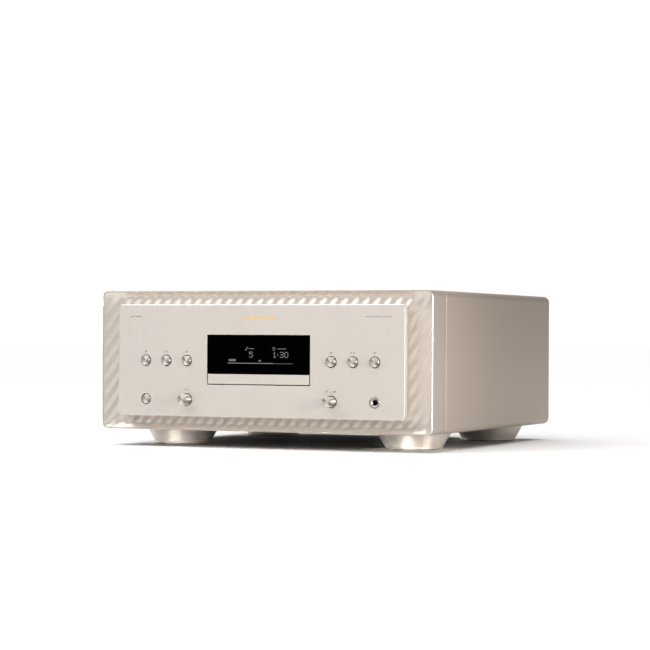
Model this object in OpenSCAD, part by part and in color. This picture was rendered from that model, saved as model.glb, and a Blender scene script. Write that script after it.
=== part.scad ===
// Disc player: a free-standing audio component with a floating front plate, a sculpted
// wave surround, a motor-driven disc tray and a rear connector panel.
// Millimetres. +Z is up, -Y is the front, and the origin is at the centre of the
// bounding box's underside, on the surface that the feet stand on.

/* [Overall] */
// Width over the side panels
total_w = 440; // [430:1:450]
// Height from the floor to the top cover
total_h = 192; // [188:1:198]
// Depth from the knob faces to the ends of the rear terminals
total_d = 473; // [468:1:478]
// Height of the body above the floor
foot_h = 21; // [20:0.5:23]
// Radius of the body's four long edges
body_r = 8; // [6:0.5:10]

/* [Front] */
// How far the knobs stand out of the front plate
knob_proud = 12.5; // [10:0.5:14]
// How far the front plate floats in front of the frame
fascia_proud = 12.5; // [11:0.5:13]
// Depth of the front frame, up to the seam
frame_d = 45; // [42:1:48]
// Depth of the body from the frame's front to the rear panel
case_d = 440; // [438:1:442]
// Width of the floating front plate
fascia_w = 380; // [376:1:384]
// Height of the floating front plate
fascia_h = 136; // [132:1:138]
// Thickness of the floating front plate
fascia_t = 8; // [7.5:0.5:8.5]
// Width of the display and tray opening
window_w = 136.4; // [136:0.2:137]
// Height of the tray's front strip
strip_h = 11.8; // [11:0.2:12]
// Pitch between neighbouring buttons
button_pitch = 28; // [27:0.5:30]
// Distance of the outer buttons from the centre line
button_x = 152; // [148:1:155]
// Height of the row of buttons
button_z = 106.5; // [104:0.5:109]
// Height of the row with the knobs and the socket
knob_z = 59; // [58:0.5:61]

/* [Disc mechanism] */
// How far the tray comes out
tray_travel = 140; // [138:1:142]
// Underside of the tray
tray_z = 82.5; // [82.4:0.1:82.6]
// Distance of the disc's centre behind the front plate's face
disc_back = 76; // [75:0.5:77]
// Module of the rack and its pinion
rack_module = 1.5; // [1.5]
// Module of the second gear pair
spur_module = 1; // [1]

/* [Controls] */
// Radius of the buttons
button_r = 5.9; // [5.5:0.1:6.1]
// Travel of the buttons
button_travel = 1.5; // [1:0.1:1.6]
// Radius of the knobs
knob_r = 6.3; // [6:0.1:6.6]
// Radius of the headphone socket's bore
jack_r = 3.2; // [3.2]

/* [Hidden] */
$fn = 64;

// Stations along the depth, from the knobs' faces to the terminals' ends
knob_y = -total_d / 2;
fascia_y = knob_y + knob_proud;
fascia_back = fascia_y + fascia_t;
frame_y = fascia_y + fascia_proud;
seam_y = frame_y + frame_d;
rear_y = frame_y + case_d;
terminal_y = total_d / 2;

// Heights and the body's middle
body_h = total_h - foot_h;
mid_z = foot_h + body_h / 2;
fascia_z = mid_z + 0.5;

// Shell thicknesses
frame_wall = 3;
frame_ledge = 10;
pocket_d = 14;
panel_t = 8;
cover_t = 6;
rear_t = 3;
base_t = 3;
tub_t = 1.5;
tub_flange = 18;
floor_z = foot_h + base_t + tub_t;
subpanel_y = frame_y + 21.5;
subpanel_t = 2;
inner_w = total_w - 2 * panel_t;
inner_h = body_h - 2 * frame_ledge;
seam_gap = 0.6;
seam_depth = 1.5;

// Display opening: its bottom, the strip's clearance and the glass above it
window_z0 = 77.6;
window_h = 60.6;
strip_gap = 1;
strip_z = window_z0 + strip_gap;
strip_w = window_w - 2 * strip_gap;
glass_z = strip_z + strip_h + 0.8;
glass_h = window_z0 + window_h - 0.2 - glass_z;

// Controls
button_hole_r = 6.6;
knob_hole_r = 7.4;
jack_hole_r = 6.9;
flange_t = 1.2;
board_y = fascia_y + 22.4;
board_t = 1.6;
switch_h = 3.5;
switch_tip = 1.5;
shaft_r = 3;
inner_x = button_x - 2 * button_pitch;
row_x = [button_x, button_x - button_pitch, inner_x];

// Disc mechanism
disc_y = fascia_y + disc_back;
disc_r = 60.5;
small_disc_r = 40.5;
tray_w = 126;
tray_t = 6.5;
tray_y0 = fascia_y + 6.2;
tray_y1 = disc_y + 113;
slot_w = 36;
rail_w = 8;
rail_gap = 0.4;
rail_x = tray_w / 2 + rail_gap;
rail_y0 = fascia_back + 3;
rail_y1 = disc_y + 133;
rail_z0 = 50;
rail_top = tray_z + 14.5;
deck_z = 66.1;
deck_t = 3;
traverse_z = 63;
traverse_t = 2.5;
hinge_y = disc_y + 123;
hinge_r = 2;
rod_x = 20;
rod_z = 71;
rod_r = 1.5;
sled_y = disc_y + 15.5;
screw_x = 30;
screw_r = 1.4;
thread_r = 1.8;
thread_pitch = 2;

// Gear train: the rack's pitch line, the pinion, the spur pair and the pulleys
pinion_teeth = 14;
spur_teeth = 32;
small_teeth = 14;
pinion_r = rack_module * pinion_teeth / 2;
rack_x = -50.5;
gear_x = rack_x + pinion_r;
gear_y = fascia_y + 29;
small_x = gear_x + spur_module * (spur_teeth + small_teeth) / 2;
motor_x = 22;
groove_r = 12;
motor_groove_r = 3.5;
gear_play = 0.22;
pulley_z = deck_z + deck_t + 0.6;
spur_z = pulley_z + 4.4;
pinion_z = spur_z + 3.8;

// Rear connectors: [x, z] on the rear panel
rca_places = [[184, 121], [184, 93], [50, 121], [18, 121], [-46, 121], [-46, 93]];
xlr_places = [[140, 107], [100, 107]];
optical_places = [[50, 93], [18, 93]];
usb_place = [-14, 107];
inlet_place = [-160, 86];
rca_r = 4.15;
rca_bore_r = 1.6;

// Feet and electronics
foot_x = 158;
foot_front_y = frame_y + 100;
foot_back_y = frame_y + 372;
foot_places = [[-foot_x, foot_front_y], [foot_x, foot_front_y], [-foot_x, foot_back_y], [foot_x, foot_back_y]];
pad_h = 2;
pad_r = 27;
foot_lip_r = 35.5;
foot_top_r = 45.5;
toroid_x = -144;
toroid_y = -92;
toroid_r = 50;
toroid_h = 58;
board_z = 40;

// ---------- Shapes that repeat ----------

// A rectangle with round corners, made of true arcs
module round_rect(w, h, r) {
  union() {
    square([w - 2 * r, h], center = true);
    square([w, h - 2 * r], center = true);
    for (sx = [-1, 1], sy = [-1, 1])
      translate([sx * (w / 2 - r), sy * (h / 2 - r)]) circle(r = r);
  }
}

// Turns a flat drawing in X and Z into a plate that reaches from y0 to y1
module plate_y(y0, y1) {
  translate([0, y1, 0]) rotate([90, 0, 0]) linear_extrude(height = y1 - y0) children();
}

// A cylinder along Y, from y0 to y1
module rod_y(x, z, r, y0, y1) {
  translate([x, y0, z]) rotate([-90, 0, 0]) cylinder(r = r, h = y1 - y0);
}

// A cone along Y, with radius r0 at y0 and r1 at y1
module cone_y(x, z, r0, r1, y0, y1) {
  translate([x, y0, z]) rotate([-90, 0, 0]) cylinder(r1 = r0, r2 = r1, h = y1 - y0);
}

// A box between two corners
module block(low, high) {
  translate(low) cube(high - low);
}

// A lathe shape about the Y axis: the profile's points are [radius, y]
module lathe_y(x, z, profile) {
  translate([x, 0, z]) rotate([-90, 0, 0]) rotate_extrude() polygon(profile);
}

// A round-ended slot, long along X
module slot_x(length, width) {
  union() {
    square([length - width, width], center = true);
    for (s = [-1, 1]) translate([s * (length - width) / 2, 0]) circle(d = width);
  }
}

// Involute of a circle of radius b, at roll angle t in degrees
function involute(b, t) = b * [cos(t) + t * PI / 180 * sin(t), sin(t) - t * PI / 180 * cos(t)];
function turned(p, a) = [p[0] * cos(a) - p[1] * sin(a), p[0] * sin(a) + p[1] * cos(a)];
function roll_at(b, r) = r > b ? sqrt(r * r / (b * b) - 1) * 180 / PI : 0;

// A spur gear with a 20 degree pressure angle, one tooth centred on +X
module gear_2d(module_mm, teeth, play) {
  pitch_r = module_mm * teeth / 2;
  base_r = pitch_r * cos(20);
  tip_r = pitch_r + 0.85 * module_mm;
  root_r = pitch_r - 1.2 * module_mm;
  half_tooth = 90 / teeth - play / 2 / pitch_r * 180 / PI;
  to_pitch = involute(base_r, roll_at(base_r, pitch_r));
  lead = atan2(to_pitch[1], to_pitch[0]);
  steps = 4;
  top_roll = roll_at(base_r, tip_r);
  flank = [for (i = [0:steps]) turned(involute(base_r, top_roll * i / steps), -half_tooth - lead)];
  foot = turned([root_r, 0], -half_tooth - lead);
  half = root_r < base_r ? concat([foot], flank) : flank;
  count = len(half);
  one = concat(half, [for (i = [0:count - 1]) [half[count - 1 - i][0], -half[count - 1 - i][1]]]);
  polygon([for (k = [0:teeth - 1]) for (p = one) turned(p, 360 * k / teeth)]);
}

// ---------- Casing ----------

module front_frame() {
  color("tan") difference() {
    plate_y(frame_y, seam_y) translate([0, mid_z]) round_rect(total_w, body_h, body_r);
    plate_y(frame_y - 1, frame_y + pocket_d)
      translate([0, mid_z]) round_rect(total_w - 2 * frame_wall, body_h - 2 * frame_wall, body_r - frame_wall);
    plate_y(frame_y + pocket_d - 1, seam_y + 1)
      translate([0, mid_z]) round_rect(total_w - 2 * frame_ledge, body_h - 2 * frame_ledge, 3);
  }
}

// The sculpted surround: a plate in the frame's pocket, dished behind the floating plate
module wave_panel() {
  clear = 0.1;
  rim_y = frame_y + 1.5;
  color("wheat") difference() {
    plate_y(rim_y, frame_y + pocket_d)
      translate([0, mid_z]) round_rect(total_w - 2 * frame_wall - 2 * clear, body_h - 2 * frame_wall - 2 * clear, body_r - frame_wall - clear);
    plate_y(rim_y - 1, rim_y + 7) translate([0, fascia_z]) round_rect(fascia_w - 6, fascia_h - 6, 4);
    plate_y(rim_y, seam_y) translate([0, fascia_z]) round_rect(356, 112, 4);
  }
}

module fascia() {
  color("bisque") difference() {
    plate_y(fascia_y, fascia_back) translate([0, fascia_z]) round_rect(fascia_w, fascia_h, 4);
    plate_y(fascia_y - 1, fascia_back + 1)
      translate([0, window_z0 + window_h / 2]) square([window_w, window_h], center = true);
    for (x = row_x, s = [-1, 1]) rod_y(s * x, button_z, button_hole_r, fascia_y - 1, fascia_back + 1);
    rod_y(-button_x, knob_z, button_hole_r, fascia_y - 1, fascia_back + 1);
    cone_y(-button_x, knob_z, button_hole_r + 1, button_hole_r - 0.2, fascia_y - 0.2, fascia_y + 1);
    for (s = [-1, 1]) rod_y(s * inner_x, knob_z, knob_hole_r, fascia_y - 1, fascia_back + 1);
    rod_y(button_x, knob_z, jack_hole_r, fascia_y - 1, fascia_back + 1);
  }
}

// Turned posts that hold the front plate off the inner panel
module fascia_posts() {
  color("silver") for (p = [[-172, -48], [-172, 48], [0, 48], [172, -48], [172, 48]])
    rod_y(p[0], fascia_z + p[1], 4, fascia_back, subpanel_y);
}

// A clear ring behind the front plate that carries warm light to its edges
module light_guide() {
  color("ivory") difference() {
    plate_y(fascia_back, fascia_back + 4) translate([0, fascia_z]) round_rect(fascia_w - 10, fascia_h - 10, 5);
    plate_y(fascia_back - 1, fascia_back + 5) translate([0, fascia_z]) round_rect(fascia_w - 20, fascia_h - 20, 3);
  }
}

module front_subpanel() {
  color("darkgoldenrod") difference() {
    plate_y(subpanel_y, subpanel_y + subpanel_t)
      translate([0, mid_z]) round_rect(total_w - 2 * frame_ledge - 0.4, inner_h - 0.4, 3);
    plate_y(subpanel_y - 1, subpanel_y + 3) translate([0, 95]) square([154, 94], center = true);
    plate_y(subpanel_y - 1, subpanel_y + 3) translate([button_x, knob_z]) square([20, 18], center = true);
  }
}

// The shadow line round the body where the casing meets the front frame
module seam_groove() {
  plate_y(seam_y - 1, seam_y + seam_gap) translate([0, mid_z]) difference() {
    round_rect(total_w + 4, body_h + 4, body_r);
    round_rect(total_w - 2 * seam_depth, body_h - 2 * seam_depth, body_r - seam_depth);
  }
}

// A side panel: flat inside, with the body's round edges outside
module side_panel(s) {
  color("tan") difference() {
    intersection() {
      plate_y(seam_y, rear_y) translate([0, mid_z]) round_rect(total_w, body_h, body_r);
      translate([s > 0 ? inner_w / 2 : -total_w / 2, seam_y, foot_h]) cube([panel_t, case_d, body_h]);
    }
    seam_groove();
  }
}

module top_cover() {
  slots = 15;
  color("tan") difference() {
    block([-inner_w / 2 + 0.1, seam_y, total_h - cover_t], [inner_w / 2 - 0.1, rear_y, total_h]);
    block([-total_w, seam_y - 1, total_h - seam_depth], [total_w, seam_y + seam_gap, total_h + 1]);
    for (i = [0:slots - 1], s = [-1, 1])
      translate([s * 100, 100 + (i - slots / 2) * 9, total_h - cover_t - 1])
        linear_extrude(height = cover_t + 2) slot_x(110, 3);
  }
}

module rear_panel() {
  color("dimgray") difference() {
    block([-inner_w / 2 + 0.1, rear_y - rear_t, foot_h + base_t], [inner_w / 2 - 0.1, rear_y, total_h - cover_t]);
    for (p = rca_places) rod_y(p[0], p[1], 5, rear_y - rear_t - 1, rear_y + 1);
    for (p = xlr_places) rod_y(p[0], p[1], 11.6, rear_y - rear_t - 1, rear_y + 1);
    for (p = optical_places) block([p[0] - 5.6, rear_y - 5, p[1] - 5.6], [p[0] + 5.6, rear_y + 1, p[1] + 5.6]);
    block([usb_place[0] - 6.6, rear_y - 5, usb_place[1] - 6], [usb_place[0] + 6.6, rear_y + 1, usb_place[1] + 6]);
    block([inlet_place[0] - 14.2, rear_y - 5, inlet_place[1] - 10.4],
          [inlet_place[0] + 14.2, rear_y + 1, inlet_place[1] + 10.4]);
  }
}

// Vents that go up through the bottom plate, and through the inner chassis when deep is larger
module bottom_slots(deep) {
  for (i = [0:11], s = [-1, 1])
    translate([s * 40, 60 + i * 9, foot_h - 1]) linear_extrude(height = base_t + 2 + deep) slot_x(60, 3);
}

module bottom_plate() {
  color("dimgray") difference() {
    block([-inner_w / 2 + 0.1, seam_y, foot_h], [inner_w / 2 - 0.1, rear_y, foot_h + base_t]);
    bottom_slots(0);
  }
}

// The folded inner chassis: a floor with a flange along each side
module chassis_tub() {
  x1 = inner_w / 2 - 0.4;
  y0 = seam_y + 1;
  y1 = rear_y - rear_t - 0.4;
  z0 = foot_h + base_t;
  color("peru") difference() {
    block([-x1, y0, z0], [x1, y1, z0 + tub_flange]);
    block([-x1 + tub_t, y0 + tub_t, z0 + tub_t], [x1 - tub_t, y1 - tub_t, z0 + tub_flange + 1]);
    bottom_slots(tub_t + 2);
  }
}

// A turned foot: a straight lip at the base, then a cone that widens upwards
module foot_body() {
  rotate_extrude() polygon([
    [3.3, pad_h], [pad_r - 0.2, pad_h], [pad_r - 0.2, 1], [foot_lip_r - 3, 1], [foot_lip_r - 0.8, 1.4], [foot_lip_r, 2.4],
    [foot_lip_r, 4], [foot_top_r, foot_h - 1], [foot_top_r, foot_h], [3.3, foot_h]
  ]);
}

module feet() {
  color("wheat") for (p = foot_places) translate([p[0], p[1], 0]) foot_body();
}

module foot_pads() {
  color("black") for (p = foot_places) translate([p[0], p[1], 0]) difference() {
    cylinder(r = pad_r - 0.5, h = pad_h);
    translate([0, 0, -1]) cylinder(r = 6, h = pad_h + 2);
  }
}

// Fixings: one bolt up through each foot and a row of screws along the rear panel
module case_screws() {
  color("gray") {
    for (p = foot_places) translate([p[0], p[1], 0]) {
      translate([0, 0, pad_h - 0.8]) cylinder(r = 5, h = 0.8);
      translate([0, 0, pad_h]) cylinder(r = 3.1, h = foot_h - pad_h);
    }
    for (x = [-196, -70, 70, 196], z = [34, 178]) lathe_y(x, z, [
      [0, rear_y], [3, rear_y], [3, rear_y + 1.2], [2.2, rear_y + 2], [1.2, rear_y + 2], [1.2, rear_y + 1], [0, rear_y + 1]
    ]);
  }
}

// ---------- Display and controls ----------

module display_window() {
  color("black") block([-window_w / 2 + 0.3, fascia_y + 0.8, glass_z], [window_w / 2 - 0.3, fascia_y + 3.8, glass_z + glass_h]);
}

// The display's glass module on its circuit board
module display_module() {
  color("darkslategray") union() {
    block([-62, fascia_y + 4.1, glass_z + 2], [62, fascia_back, glass_z + glass_h - 2]);
    block([-78, fascia_back, glass_z + 1], [78, fascia_back + board_t, glass_z + glass_h + 4]);
    block([-40, fascia_back + board_t, glass_z + 30], [40, fascia_back + 5, glass_z + 38]);
  }
}

// A push button: a dished cap with a flange behind the plate and a stem to its switch
module push_button(x, z, face_y) {
  stem_end = board_y - switch_h - switch_tip - button_travel - 0.4;
  color("gainsboro") lathe_y(x, z, [
    [0, face_y + 0.45], [button_r * 0.5, face_y + 0.33], [button_r - 0.5, face_y], [button_r - 0.25, face_y],
    [button_r, face_y + 0.3], [button_r, fascia_back + 0.3], [button_r + 1.4, fascia_back + 0.3],
    [button_r + 1.4, fascia_back + 0.3 + flange_t], [2, fascia_back + 0.3 + flange_t], [2, stem_end], [0, stem_end]
  ]);
}
button_face = fascia_y - 2.4;
module button_dimmer() { push_button(-row_x[0], button_z, button_face); }
module button_stop() { push_button(-row_x[1], button_z, button_face); }
module button_open() { push_button(-row_x[2], button_z, button_face); }
module button_previous() { push_button(row_x[2], button_z, button_face); }
module button_play() { push_button(row_x[1], button_z, button_face); }
module button_next() { push_button(row_x[0], button_z, button_face); }
module button_power() { push_button(-button_x, knob_z, fascia_y + 0.3); }

// A turned knob on a round shaft
module knob(x) {
  color("gainsboro") lathe_y(x, knob_z, [
    [0, knob_y + 0.5], [knob_r * 0.5, knob_y + 0.35], [knob_r - 0.6, knob_y], [knob_r - 0.4, knob_y],
    [knob_r, knob_y + 0.5], [knob_r, fascia_y + 5], [shaft_r, fascia_y + 5],
    [shaft_r, board_y - 1], [0, board_y - 1]
  ]);
}
module input_knob() { knob(-inner_x); }
module phones_knob() { knob(inner_x); }

// A rotary control's housing, bored for its shaft
module control_housing(x, w) {
  difference() {
    union() {
      block([x - w / 2, board_y - 6.5, knob_z - w / 2], [x + w / 2, board_y, knob_z + w / 2]);
      rod_y(x, knob_z, 4.5, board_y - 11, board_y - 6.5);
    }
    rod_y(x, knob_z, shaft_r + 0.06, board_y - 12, board_y - 0.6);
  }
}
module input_encoder() { color("darkgray") control_housing(-inner_x, 12); }
module phones_potentiometer() { color("darkolivegreen") control_housing(inner_x, 14); }

// The 6.35 mm headphone socket: a turned ring, a body and its bore
module phones_jack() {
  depth = 30;
  color("silver") difference() {
    union() {
      lathe_y(button_x, knob_z, [
        [0, fascia_y - 0.5], [5.6, fascia_y - 0.5], [6.6, fascia_y + 0.4], [6.6, fascia_back], [0, fascia_back]
      ]);
      block([button_x - 7.5, fascia_back, knob_z - 7], [button_x + 7.5, fascia_y + depth + 2, knob_z + 7]);
    }
    rod_y(button_x, knob_z, jack_r, fascia_y - 2, fascia_y + depth);
    cone_y(button_x, knob_z, jack_r + 1.9, jack_r, fascia_y - 0.51, fascia_y + 1.2);
  }
}

// The two control boards, left and right of the display
module control_boards() {
  color("darkgreen") for (s = [-1, 1]) difference() {
    union() {
      block([s * 125 - 41, board_y, knob_z - 5.5], [s * 125 + 41, board_y + board_t, button_z + 10]);
      for (p = [[-36, 82], [36, 82], [-36, 112], [36, 112]]) rod_y(s * 125 + p[0], p[1], 2.5, board_y + board_t, subpanel_y);
    }
    if (s > 0) block([button_x - 8.5, board_y - 1, 50], [button_x + 8.5, board_y + 3, knob_z + 8]);
  }
}

// A tact switch behind each button
module tact_switches() {
  places = concat([for (x = row_x, s = [-1, 1]) [s * x, button_z]], [[-button_x, knob_z]]);
  color("dimgray") for (p = places) union() {
    block([p[0] - 3.1, board_y - switch_h, p[1] - 3.1], [p[0] + 3.1, board_y, p[1] + 3.1]);
    rod_y(p[0], p[1], 1.7, board_y - switch_h - switch_tip, board_y - switch_h);
  }
}

// ---------- Disc mechanism ----------

module tray_front() {
  color("bisque") block([-strip_w / 2, fascia_y + 0.2, strip_z], [strip_w / 2, tray_y0, strip_z + strip_h]);
}

// Teeth of a straight rack that point along +X, with a gap centred on gear_y
module rack_2d(y0, y1) {
  pitch = PI * rack_module;
  tip = 0.85 * rack_module;
  root = 1.2 * rack_module;
  half_pitch_w = pitch / 4 - gear_play / 2;
  lean = tan(20);
  count = floor((y1 - y0) / pitch) - 1;
  first = gear_y - pitch * (floor((gear_y - y0) / pitch) - 0.5);
  union() {
    translate([rack_x - root - 3.5, y0]) square([3.5, y1 - y0]);
    for (k = [0:count]) translate([rack_x, first + k * pitch]) polygon([
      [-root - 0.5, -half_pitch_w - lean * root], [-root, -half_pitch_w - lean * root], [tip, -half_pitch_w + lean * tip],
      [tip, half_pitch_w - lean * tip], [-root, half_pitch_w + lean * root], [-root - 0.5, half_pitch_w + lean * root]
    ]);
  }
}

// The tray: disc wells for both sizes, a slot that is open to the rear, and the rack
module disc_tray() {
  top = tray_z + tray_t;
  color("dimgray") union() {
    difference() {
      block([-tray_w / 2, tray_y0, tray_z], [tray_w / 2, tray_y1, top]);
      translate([0, disc_y, top - 3]) cylinder(r = disc_r, h = 4);
      translate([0, disc_y, top - 4.5]) cylinder(r = small_disc_r, h = 4);
      translate([0, disc_y, tray_z - 1]) cylinder(r = slot_w / 2, h = tray_t);
      block([-slot_w / 2, disc_y, tray_z - 1], [slot_w / 2, tray_y1 + 1, top + 1]);
    }
    translate([0, 0, pinion_z + 0.3]) linear_extrude(height = tray_z - pinion_z - 0.3) rack_2d(tray_y0 + 6, tray_y1 - 4);
  }
}

// The loader's frame: two rails with ledges, a floor, and a front deck for the gears
module mech_frame() {
  color("slategray") difference() {
    union() {
      for (s = [-1, 1]) {
        translate([s > 0 ? rail_x : -rail_x - rail_w, rail_y0, rail_z0]) cube([rail_w, rail_y1 - rail_y0, rail_top - rail_z0]);
        translate([s > 0 ? rail_x - 5 : -rail_x - 0.5, rail_y0 + 1, tray_z - 4]) cube([5.5, rail_y1 - rail_y0 - 1, 3.7]);
        translate([s > 0 ? rail_x - 3 : -rail_x - 0.5, rail_y0 + 1, tray_z + tray_t + 0.3]) cube([3.5, rail_y1 - rail_y0 - 1, 2]);
      }
      block([-rail_x - 1, rail_y0 + 36, rail_z0], [rail_x + 1, rail_y1, rail_z0 + 3]);
      block([-rail_x - 1, rail_y0, deck_z], [rail_x + 1, rail_y0 + 34, deck_z + deck_t]);
      for (x = [gear_x, small_x]) translate([x, gear_y, deck_z + deck_t]) cylinder(r = 1.5, h = 12);
      for (x = [-30, 24]) block([x, hinge_y - 4, rail_z0 + 3], [x + 6, hinge_y + 4, traverse_z + 4]);
    }
    block([-22, disc_y - 20, rail_z0 - 1], [22, disc_y + 80, rail_z0 + 4]);
    block([-rail_x - 9, rail_y0 - 1, rail_z0 - 1], [rail_x + 9, subpanel_y - 1, rail_z0 + 1.6]);
    translate([motor_x, gear_y, deck_z - 1]) cylinder(r = 3.2, h = 5);
    translate([-31, hinge_y, traverse_z]) rotate([0, 90, 0]) cylinder(r = hinge_r + 0.06, h = 62);
  }
}

// The bridge over the tray, which carries the clamp
module mech_cover() {
  color("silver") difference() {
    block([-rail_x - rail_w, rail_y0 + 26, rail_top], [rail_x + rail_w, rail_y1 - 10, rail_top + 2]);
    translate([0, disc_y, rail_top - 1]) cylinder(r = 13.5, h = 4);
    for (s = [-1, 1]) translate([s * 42, disc_y + 40, rail_top - 1]) linear_extrude(height = 4) slot_x(36, 14);
  }
}

// A cast stand that carries the loader over the chassis floor
module mech_stand() {
  y0 = seam_y + 1 + tub_t + 0.5;
  color("gray") difference() {
    block([-80, y0, floor_z], [80, rail_y1 - 4, floor_z + 18]);
    block([-62, y0 + 12, floor_z + 4], [62, rail_y1 - 16, floor_z + 19]);
    block([-50, disc_y, floor_z - 1], [50, rail_y1 - 30, floor_z + 5]);
  }
}

// Four rubber isolators between the stand and the loader
module mech_isolators() {
  z0 = floor_z + 18;
  color("black") for (x = [-70, 70], y = [seam_y + 1 + tub_t + 7, rail_y1 - 12]) translate([x, y, z0])
    rotate_extrude() polygon([[0, 0], [5.5, 0], [5.5, 2], [4, (rail_z0 - z0) / 2], [5.5, rail_z0 - z0 - 2], [5.5, rail_z0 - z0], [0, rail_z0 - z0]]);
}

// The traverse: a plate that tilts on a rear pin and carries the spindle and the pickup
module traverse_plate() {
  z0 = traverse_z;
  color("lightsteelblue") difference() {
    union() {
      block([-38, disc_y - 22, z0], [38, hinge_y - 8, z0 + traverse_t]);
      for (x = [-22, 14]) block([x, hinge_y - 9, z0 - 3], [x + 8, hinge_y + 3, z0 + 3]);
      for (x = [-rod_x, rod_x], y = [disc_y + 8, hinge_y - 14]) block([x - 3, y, z0 + traverse_t - 0.5], [x + 3, y + 4, rod_z + 3]);
      block([screw_x - 5, disc_y + 12, z0 + traverse_t - 0.5], [screw_x + 5, disc_y + 15.2, rod_z + 4]);
      translate([-31, hinge_y, z0]) rotate([0, 90, 0]) cylinder(r = hinge_r, h = 62);
    }
    translate([0, disc_y, z0 - 1]) cylinder(r = 13, h = 5);
    block([-15, disc_y + 20, z0 - 1], [15, hinge_y - 16, z0 + 5]);
    for (x = [-rod_x, rod_x]) rod_y(x, rod_z, rod_r, disc_y, hinge_y);
    rod_y(screw_x, rod_z, screw_r + 0.06, disc_y, disc_y + 20);
  }
}

module guide_rods() {
  color("silver") for (x = [-rod_x, rod_x]) rod_y(x, rod_z, rod_r, disc_y + 8, hinge_y - 10);
}

// The laser pickup on its two rods, with the objective lens in its turret
module optical_pickup() {
  color("dimgray") difference() {
    union() {
      block([-26, sled_y, rod_z - 4], [26, sled_y + 26, rod_z + 5]);
      block([25, sled_y + 9, rod_z - 4], [screw_x + 4, sled_y + 17, rod_z + 4]);
      translate([0, sled_y + 9, rod_z + 5]) cylinder(r = 7, h = 5);
      translate([0, sled_y + 9, rod_z + 10]) cylinder(r = 2.6, h = 1.2);
    }
    for (x = [-rod_x, rod_x]) rod_y(x, rod_z, rod_r + 0.06, sled_y - 1, sled_y + 27);
    rod_y(screw_x, rod_z, thread_r + 0.1, sled_y - 1, sled_y + 27);
  }
}

// The threaded rod that drives the pickup, drawn with rings for its thread
module feed_screw() {
  y0 = disc_y + 16.5;
  turns = 36;
  color("silver") lathe_y(screw_x, rod_z, concat(
    [[0, disc_y + 12.5], [screw_r, disc_y + 12.5]],
    [for (i = [0:turns - 1], k = [0:1]) [k == 0 ? screw_r : thread_r, y0 + thread_pitch * (i + k / 2)]],
    [[screw_r, y0 + thread_pitch * turns], [screw_r, hinge_y - 27.5], [0, hinge_y - 27.5]]
  ));
}

module feed_motor() {
  color("darkgray") union() {
    rod_y(screw_x, rod_z, 5, hinge_y - 27, hinge_y - 12);
    block([screw_x - 5, hinge_y - 26, traverse_z + traverse_t], [screw_x + 5, hinge_y - 13, rod_z]);
  }
}

module spindle_motor() {
  color("darkgray") difference() {
    union() {
      translate([0, disc_y, traverse_z + traverse_t]) cylinder(r = 14.5, h = 2);
      translate([0, disc_y, traverse_z - 4]) cylinder(r = 12.4, h = 14);
    }
    translate([0, disc_y, traverse_z]) cylinder(r = 1.6, h = 15);
  }
}

// The platform that carries the disc: rotor, table and centring cone on one shaft
module turntable() {
  z0 = traverse_z + 10.6;
  color("black") translate([0, disc_y, 0]) rotate_extrude() polygon([
    [0, traverse_z + 1], [1.5, traverse_z + 1], [1.5, z0], [12, z0], [12, z0 + 7.5], [14.8, z0 + 9], [14.8, 88],
    [7.4, 88], [7.4, 88.7], [5.2, 90], [0, 90]
  ]);
}

// The clamp that hangs in the bridge and holds the disc down
module disc_clamp() {
  z0 = rail_top;
  color("ivory") translate([0, disc_y, 0]) rotate_extrude() polygon([
    [0, z0 - 2], [5.6, z0 - 2], [7.8, z0 - 5.5], [15.4, z0 - 5.5], [15.8, z0 - 5.1], [15.8, z0 - 3], [12.6, z0 - 2.2],
    [12.6, z0 + 2.3], [16.5, z0 + 2.3], [16.5, z0 + 4], [0, z0 + 4]
  ]);
}

// The compound gear: the rack's pinion above, a spur gear below
module loading_gear() {
  color("ivory") translate([gear_x, gear_y, 0]) difference() {
    union() {
      translate([0, 0, spur_z]) linear_extrude(height = 3.2) gear_2d(spur_module, spur_teeth, gear_play);
      translate([0, 0, spur_z + 3.2]) cylinder(r = 8, h = 0.6);
      translate([0, 0, pinion_z]) linear_extrude(height = tray_z - 0.5 - pinion_z) gear_2d(rack_module, pinion_teeth, gear_play);
    }
    translate([0, 0, spur_z - 1]) cylinder(r = 1.56, h = 20);
  }
}

// A small gear with the belt's pulley under it
module pulley_gear() {
  color("ivory") translate([small_x, gear_y, 0]) difference() {
    union() {
      translate([0, 0, pulley_z]) rotate_extrude() polygon([
        [0, 0], [groove_r + 1.4, 0], [groove_r + 1.4, 0.6], [groove_r, 1.1], [groove_r, 2.5], [groove_r + 1.4, 3],
        [groove_r + 1.4, 3.6], [4, 3.6], [4, 4.2], [0, 4.2]
      ]);
      translate([0, 0, pulley_z + 4.2]) linear_extrude(height = 3.4)
        rotate([0, 0, 180 / small_teeth]) gear_2d(spur_module, small_teeth, gear_play);
    }
    translate([0, 0, pulley_z - 1]) cylinder(r = 1.56, h = 20);
  }
}

module motor_pulley() {
  color("goldenrod") translate([motor_x, gear_y, 0]) rotate_extrude() polygon([
    [0, deck_z + 0.3], [1.5, deck_z + 0.3], [1.5, pulley_z], [motor_groove_r + 1.2, pulley_z], [motor_groove_r + 1.2, pulley_z + 0.5],
    [motor_groove_r, pulley_z + 1.1], [motor_groove_r, pulley_z + 2.5], [motor_groove_r + 1.2, pulley_z + 3.1],
    [motor_groove_r + 1.2, pulley_z + 3.6], [0, pulley_z + 3.6]
  ]);
}

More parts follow.
